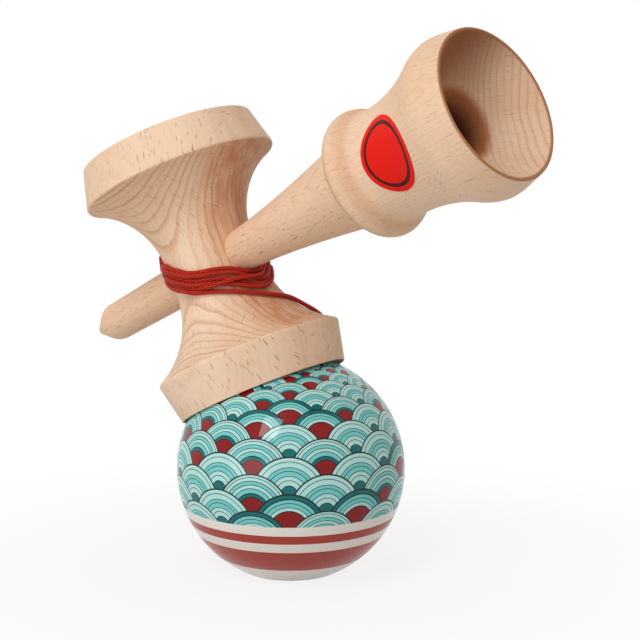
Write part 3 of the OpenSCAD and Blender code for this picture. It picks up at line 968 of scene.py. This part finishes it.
def make_label(handle):
    """An oval disc of rings, pressed onto the handle's neck and given its thickness."""
    deselect()
    bpy.ops.mesh.primitive_circle_add(
        vertices=72, radius=LABEL_L / 2 * MM, fill_type="NOTHING", rotation=(radians(90), 0, 0))
    label = bpy.context.object
    label.name = "label"
    bpy.ops.object.transform_apply(location=False, rotation=True, scale=False)
    edit_all()
    bpy.ops.transform.resize(value=(1, 1, LABEL_W / LABEL_L), center_override=(0, 0, 0))
    for i in range(1, LABEL_RINGS):
        bpy.ops.mesh.extrude_edges_move(TRANSFORM_OT_translate={"value": (0, 0, 0)})
        shrink = (LABEL_RINGS - i) / (LABEL_RINGS - i + 1)
        bpy.ops.transform.resize(value=(shrink, 1, shrink), center_override=(0, 0, 0))
    bpy.ops.mesh.edge_face_add()
    bpy.ops.mesh.select_all(action="SELECT")
    bpy.ops.transform.translate(value=(LABEL_U * MM, -LABEL_DROP * MM, 0))
    leave_edit()
    # A copy of the handle, turned so that the label drops on it straight along Y
    place = CUP_PLACE @ Matrix.Rotation(radians(LABEL_TURN), 4, "X")
    hold = handle.copy()
    hold.data = handle.data.copy()
    scene.collection.objects.link(hold)
    hold.data.transform(place.inverted())
    pick(label)
    press = label.modifiers.new("press", "SHRINKWRAP")
    press.target = hold
    press.wrap_method = "PROJECT"
    press.use_project_y = True
    press.use_positive_direction = True
    press.use_negative_direction = False
    press.offset = LABEL_LIFT * MM
    bpy.ops.object.modifier_apply(modifier=press.name)
    bpy.data.objects.remove(hold, do_unlink=True)
    edit_all()
    bpy.ops.mesh.normals_make_consistent(inside=False)
    leave_edit()
    if sum(face.normal.y for face in label.data.polygons) > 0:
        edit_all()
        bpy.ops.mesh.flip_normals()
        leave_edit()
    film = label.modifiers.new("film", "SOLIDIFY")
    film.thickness = LABEL_T * MM
    film.offset = 1
    bpy.ops.object.modifier_apply(modifier=film.name)
    settle(label, place, label_finish())
    return label


# Cord: turns round the waist, then the run to the ball. Lines are pairs of angle and millimetres.
# Other pairs are an angle at which something starts, and the degrees that it takes.

WIND_START = 90
TURN_LINE = (
    (90, 0.2), (110, 3.6), (130, 7), (150, 9.6), (165, 10.8), (180, 11), (194, 10), (201, 8.6), (208, 6.9),
    (220, 5.4), (233, 5), (245, 4.6), (257, 2.9), (268, 1.4), (281, -0.4), (297, -1.6), (311, -2.2),
    (331, -3.5), (344, -5), (356, -5.8), (367, -5.6), (380, -4), (392, -2.2), (405, -0.7), (425, 0.3))
SPACE_LINE = (
    (90, 0.95), (130, 0.85), (180, 0.8), (208, 0.8), (220, 0.8), (233, 1.05), (245, 1.25), (268, 1.15),
    (297, 1.12), (311, 1.2), (331, 1.22), (344, 1.2), (367, 1.15), (392, 1.1), (425, 1))
LIFT_LINE = (
    (90, 0.9), (180, 1), (205, 0.8), (222, 0.45), (245, 0.5), (268, 0.62), (311, 0.6), (340, 0.5),
    (367, 0.45), (392, 0.5), (425, 0.8))
LEAVE_LINE = (
    (280, -6.4), (304, -8.6), (330, -11), (352, -13.4), (371, -15), (386, -16.4), (398, -19), (409, -21.2),
    (420, -22.6), (450, -24))
TURNS_BEFORE_LAST = 5
LAST_TURN = 360 * TURNS_BEFORE_LAST
WIND_END = LAST_TURN + 420
LEAVE = (290, 40)
# The crossing turn: where it crosses, the others slip under it, all come back, and it lies over them
CROSSING_TURN = 4
CROSS = (292, 80)
CROSS_LIFT = 1.6
SLIP = (348, 40)
SLIP_STEP = 17
BACK = (440, 80)
PASS_FROM = 200
OVER_FRONT = ((284, 22), (352, 22))
OVER_REAR = ((425, 30), (500, 40))
GROOVE_OVER = 70
FLAT = (262, 40)
# Unevenness of the turns: millimetres, waves a turn and shift in degrees
UNEVEN = ((0.1, 1.31, 0), (0.08, 2.23, 40))
SLOPE_STEP = 0.02
TURN_STEP = 4
HOLE_OUT = 10.4
WINDING_FROM = 9.0
JOIN_DEG = 104
JOIN_PULL = 2.2
JOIN_STEPS = 8


def risen(a, start, over):
    """From nothing to one, over some degrees from a start."""
    t = min(max((a - start) / over, 0), 1)
    return t * t * (3 - 2 * t)


def along_line(pairs, a):
    """Height at an angle on a smooth line through pairs of angle and height."""
    i = max([k for k in range(1, len(pairs) - 2) if pairs[k][0] <= a] + [1])
    before, here, there, after = pairs[i - 1:i + 3]
    wide = there[0] - here[0]
    t = (a - here[0]) / wide
    leaving = (there[1] - before[1]) / (there[0] - before[0]) * wide
    arriving = (after[1] - here[1]) / (after[0] - here[0]) * wide
    bend = leaving * t * (1 - t) ** 2 - arriving * t * t * (1 - t)
    return here[1] + (there[1] - here[1]) * t * t * (3 - 2 * t) + bend


def round_line(pairs, a):
    """The same on a line that comes round to its start."""
    whole = ((pairs[-1][0] - 360, pairs[-1][1]),) + pairs + tuple((b + 360, z) for b, z in pairs[:3])
    return along_line(whole, (a - WIND_START) % 360 + WIND_START)


def places_moved(a):
    """The crossing turn climbs over the three before it at the front, and each slips down under it in turn.
    All come back at the rear."""
    turn = int((a - PASS_FROM) // 360)
    b = a - 360 * turn
    back = risen(b, *BACK)
    if turn == CROSSING_TURN:
        return (CROSSING_TURN - 1) * (risen(b, *CROSS) - back)
    if 0 < turn < CROSSING_TURN:
        return back - risen(b + SLIP_STEP * turn, *SLIP)
    return 0.0


def turn_height(a):
    uneven = sum(size * sin(radians(a * waves + shift)) for size, waves, shift in UNEVEN)
    turns = (a - WIND_START) / 360 - places_moved(a)
    return round_line(TURN_LINE, a) - round_line(SPACE_LINE, a) * turns + uneven


def lies_over(b, rise, fall):
    return risen(b, *rise) * (1 - risen(b, *fall))


def layer_lift(a):
    """Every second turn lies in the groove of the two beside it, and the crossing turn over them all."""
    turn = int((a - WIND_START) // 360)
    change = risen((a - WIND_START) % 360, 0, GROOVE_OVER)
    lift = 0.0
    if turn > 0:
        lift = round_line(LIFT_LINE, a) * (change if turn % 2 else 1 - change)
    if turn == TURNS_BEFORE_LAST:
        lift *= 1 - risen(a - LAST_TURN, *FLAT)
    b = a - 360 * CROSSING_TURN
    over = lies_over(b, *OVER_FRONT) + lies_over(b, *OVER_REAR)
    return max(lift, CROSS_LIFT * over)


def wind_point(a):
    b = a - LAST_TURN
    leave = risen(b, *LEAVE)
    z = turn_height(a) * (1 - leave)
    if leave > 0:
        z += along_line(LEAVE_LINE, b) * leave
    slope = (waist_at(z + SLOPE_STEP) - waist_at(z - SLOPE_STEP)) / (2 * SLOPE_STEP)
    r = waist_at(z) + (CORD_R + CORD_LAY * leave + layer_lift(a)) * sqrt(1 + slope * slope)
    t = radians(a)
    return Vector((r * cos(t), r * sin(t), z))


def winding_line():
    """The winding's centreline in the double cup's axes, and the direction in which it ends."""
    end = wind_point(JOIN_DEG)
    way = (wind_point(JOIN_DEG + 1) - end).normalized()
    start = Vector((0, HOLE_OUT, 0))
    pulls = (start, start + Vector((0, JOIN_PULL, 0)), end - way * JOIN_PULL, end)
    line = [Vector((0, WINDING_FROM, 0))]
    for i in range(JOIN_STEPS):
        t = i / JOIN_STEPS
        shares = ((1 - t) ** 3, 3 * t * (1 - t) ** 2, 3 * t * t * (1 - t), t ** 3)
        line.append(sum((p * s for p, s in zip(pulls, shares)), Vector()))
    line += [wind_point(a) for a in range(JOIN_DEG, WIND_END, TURN_STEP)]
    last = (wind_point(WIND_END) - wind_point(WIND_END - 1)).normalized()
    line += [wind_point(WIND_END), wind_point(WIND_END) + last * CORD_D]
    return line, last


# Tail: over the shoulder and under the rim, as angle, radius and height in the cup's axes, into the ball

TAIL_ROUTE = ((67, 24.7, -23.3), (71, 26.5, -24.6), (76, 27.4, -27), (83, 27.8, -30.5), (91, 27.7, -34),
              (98, 27, -36.8), (100.5, 25.9, -38.3), (100, 24.7, -38.6), (98, 23.4, -37.9))
CORD_IN_DEG = 95
TAIL_LAY = 0.2
OVER_BALL = BALL_R + CORD_R + TAIL_LAY
CORD_BEND = 2 * CORD_D
BEND_STEPS = 3
OVER_BALL_STEPS = 6
BEAD_TOP = HOLE_DEPTH + CHAMBER_D - BEAD_GAP
BEAD_BOTTOM = BEAD_TOP - BEAD_H
BELOW_BEND = 5
ABOVE_BEAD = 2


def on_cup(deg, r, z):
    """A point at an angle and a radius round the double cup's axis, in the part's axes."""
    return placed(r * cos(radians(deg)), r * sin(radians(deg)), z)


def tail_line(start, way):
    """The tail's centreline in the part's axes, and the way out from the ball's axis to its gap."""
    rim = on_cup(CORD_IN_DEG, SMALL_LIP_R, -SMALL_H)
    gap = (rim - BALL_CENTRE).normalized()
    polar = acos(gap.z)
    out = Vector((gap.x, gap.y, 0)).normalized()
    up = Vector((0, 0, 1))
    points = [placed(*(start + way * CORD_D))]
    points += [on_cup(*stop) for stop in TAIL_ROUTE]
    bend = asin(CORD_BEND / OVER_BALL)
    for i in range(OVER_BALL_STEPS + 1):
        t = polar + (bend - polar) * i / OVER_BALL_STEPS
        points.append(BALL_CENTRE + OVER_BALL * (out * sin(t) + up * cos(t)))
    bend_z = OVER_BALL * cos(bend) - CORD_BEND
    for i in range(1, BEND_STEPS + 1):
        t = radians(90 * i / BEND_STEPS)
        down = up * (bend_z + CORD_BEND * cos(t))
        points.append(BALL_CENTRE + out * CORD_BEND * (1 - sin(t)) + down)
    for z in (BALL_Z + bend_z - BELOW_BEND, BEAD_TOP + ABOVE_BEAD, BEAD_BOTTOM + CORD_D, BEAD_BOTTOM):
        points.append(Vector((0, 0, z)))
    return [placed(*start)] + [Vector(p) for p in smooth_line(points)], out


# Knots and bead

KNOT_FINENESS = 3
KNOT_STEPS = 72
KNOT_DEPTH = 2.2
HANDLE_KNOT_CORD_R = 0.62
HANDLE_KNOT_GAP = 0.05
BEAD_KNOT_CORD_R = 0.68
BEAD_KNOT_GAP = 0.02
BEAD_HOLE_GAP = 0.15
BEAD_EDGE = 0.3
BEAD_ROUND = 1.2
BEAD_STEPS = 8


def tie_knot(name, centre, along, radius, cord_r):
    """A tight overhand knot as a closed three-lobed loop of cord round a centre."""
    turn = Vector(along).to_track_quat("Z", "Y").to_matrix()
    size = (radius - cord_r) / 3
    line = []
    for i in range(KNOT_STEPS + 1):
        t = 2 * pi * i / KNOT_STEPS
        x = sin(t) + 2 * sin(2 * t)
        y = cos(t) - 2 * cos(2 * t)
        p = Vector((x, y, -KNOT_DEPTH * sin(3 * t)))
        line.append(Vector(centre) + turn @ (p * size))
    return lay_cord(name, line, cord_r, KNOT_FINENESS)


def make_bead():
    hole = CORD_R + BEAD_HOLE_GAP
    outline = [(hole, BEAD_EDGE), (hole + BEAD_EDGE, 0)]
    outline += arc(BEAD_R - BEAD_ROUND, BEAD_ROUND, BEAD_ROUND, -90, 0, BEAD_STEPS)
    outline += arc(BEAD_R - BEAD_ROUND, BEAD_H - BEAD_ROUND, BEAD_ROUND, 0, 90, BEAD_STEPS)
    outline += [(hole + BEAD_EDGE, BEAD_H), (hole, BEAD_H - BEAD_EDGE), (hole, BEAD_EDGE)]
    made = turn_on_lathe("cord_bead", [(r, h + BEAD_BOTTOM) for r, h in outline], sides=48)
    settle(made, Matrix.Identity(4), bead_finish())
    return made


# The toy

CORD_FINENESS = 4
# Lead: from the knot, out of the handle's seat and into the cup's wall, as millimetres along the cord hole.
LEAD_OUT = 5.755
LEAD_IN = 5.79
LEAD_LINE = (-KNOT_FLOOR - 0.03, 0, 3, 5, LEAD_OUT, LEAD_IN, 7, 8, WINDING_FROM)

ball = make_ball()
double_cup = make_double_cup()
handle = make_handle()
label = make_label(handle)
bead = make_bead()
braided_cord = cord_finish()

own_line, last_way = winding_line()
wound = [placed(*p) for p in own_line]
winding = lay_cord("cord_winding", wound, WIND_CORD_R, CORD_FINENESS)
tail_start = wind_point(WIND_END) + last_way * CORD_D
tail_points, cord_out = tail_line(tail_start, last_way)
tail = lay_cord("cord_tail", tail_points, WIND_CORD_R, CORD_FINENESS)
lead_points = [placed(0, y, 0) for y in LEAD_LINE]
lead = lay_cord("cord_lead", lead_points, CORD_R, CORD_FINENESS)
knot_place = placed(0, -KNOT_FLOOR - HANDLE_KNOT_GAP - KEN_KNOT_R, 0)
knot_way = CUP_TURN @ Vector((0, 1, 0))
handle_knot = tie_knot("handle_knot", knot_place, knot_way, KEN_KNOT_R, HANDLE_KNOT_CORD_R)
knot_place = (0, 0, BEAD_BOTTOM - BEAD_KNOT_GAP - BEAD_KNOT_R)
bead_knot = tie_knot("bead_knot", knot_place, (0, 0, 1), BEAD_KNOT_R, BEAD_KNOT_CORD_R)
for piece in (winding, tail, lead, handle_knot, bead_knot):
    piece.data.materials.append(braided_cord)

# What each piece stands for, and what it moves with
for piece, node, body, slot in (
        (ball, "tama", "tama", "ball_lacquer"), (double_cup, "sarado", "sarado", "beech"),
        (handle, "ken", "ken", "beech"), (label, "ken_label", "ken", "label"),
        (winding, "string_winding", "sarado", "cord"), (handle_knot, "ken_knot", "ken", "cord"),
        (bead, "bead", "string_end", "bead"), (bead_knot, "bead_knot", "string_end", "cord")):
    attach(piece, body)
    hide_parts(node)
for piece, node in ((tail, "string_tail"), (lead, "string_lead")):
    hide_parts(node)
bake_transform(tail)
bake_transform(lead)


# Stage, light and camera, in metres and watts

FLOOR_SIZE = (8, 6, 1)
FLOOR_TONE = (0.76, 0.76, 0.76, 1)
SHADOW_FADE = (0.02, 0.16)
SHADOW_LEFT = 0.84
AIM = Vector((0, 0, 0.06))
KEY_PLACE = Vector((-0.307, -0.565, 0.766)) * 0.85 + Vector((0, 0, 0.025))
FILL_PLACE = (-0.75, -0.85, 0.1)
ROOM_TINT = (1, 0.93, 0.83, 1)
ROOM_LIGHT = 0.54
WHITE = (1, 1, 1, 1)
CAMERA_PLACE = Vector((7.65, -464.57, 130.75)) * MM
CAMERA_DOWN = 8.12


def seen_straight(bench):
    """One for what the camera, a gloss or a clear piece shows, and nothing for other light."""
    paths = bench.node("ShaderNodeLightPath")
    seen = bench.math("MAXIMUM", paths.outputs["Is Camera Ray"], paths.outputs["Is Glossy Ray"])
    return bench.math("MAXIMUM", seen, paths.outputs["Is Transmission Ray"])


def make_floor():
    """A flat pale floor that is white where it is seen, and keeps the toy's shadow."""
    deselect()
    bpy.ops.mesh.primitive_plane_add(size=1, location=(0, 0, -MOUTH_H * MM))
    floor = bpy.context.object
    floor.name = "floor"
    bpy.ops.object.transform_apply(location=True, rotation=True, scale=True)
    edit_all()
    bpy.ops.transform.resize(value=FLOOR_SIZE, center_override=(0, 0, 0))
    leave_edit()
    made, b, shader = finish_of("floor_paper")
    b.dress(shader, {"Base Color": FLOOR_TONE, "Roughness": 1.0, "Specular IOR Level": 0.0})
    glow = b.node("ShaderNodeEmission")
    away = b.vector("LENGTH", b.object_place())
    white = b.times(seen_straight(b), b.ramp(away, *SHADOW_FADE, SHADOW_LEFT, 1.0))
    both = b.node("ShaderNodeMixShader", {0: white, 1: shader.outputs[0], 2: glow.outputs[0]})
    b.feed(made.node_tree.nodes["Material Output"].inputs[0], both.outputs[0])
    floor.data.materials.append(made)


def make_light(name, place, size, power):
    lamp = bpy.data.lights.new(name, "AREA")
    lamp.shape = "RECTANGLE"
    lamp.size, lamp.size_y = size
    lamp.energy = power
    stand = bpy.data.objects.new(name, lamp)
    stand.location = place
    stand.rotation_euler = (AIM - Vector(place)).to_track_quat("-Z", "Y").to_euler()
    scene.collection.objects.link(stand)


def make_room():
    """Soft warm light from all round, and white where the room itself is seen."""
    world = bpy.data.worlds.new("studio")
    scene.world = world
    world.use_nodes = True
    b = Bench(world.node_tree)
    sky = world.node_tree.nodes["Background"]
    shown = seen_straight(b)
    strength = b.ramp(shown, 0.0, 1.0, ROOM_LIGHT, 1.0)
    b.dress(sky, {"Color": b.mix(shown, ROOM_TINT, WHITE), "Strength": strength})


make_floor()
make_light("key", KEY_PLACE, size=(0.26, 0.31), power=2.3)
make_light("low_fill", FILL_PLACE, size=(0.9, 0.6), power=4.2)
make_room()

lens = bpy.data.cameras.new("camera")
lens.lens = 101.26
lens.sensor_width = 36
camera = bpy.data.objects.new("camera", lens)
camera.location = CAMERA_PLACE
camera.rotation_euler = (radians(90 - CAMERA_DOWN), 0, 0)
scene.collection.objects.link(camera)
scene.camera = camera
scene.view_settings.view_transform = "Standard"
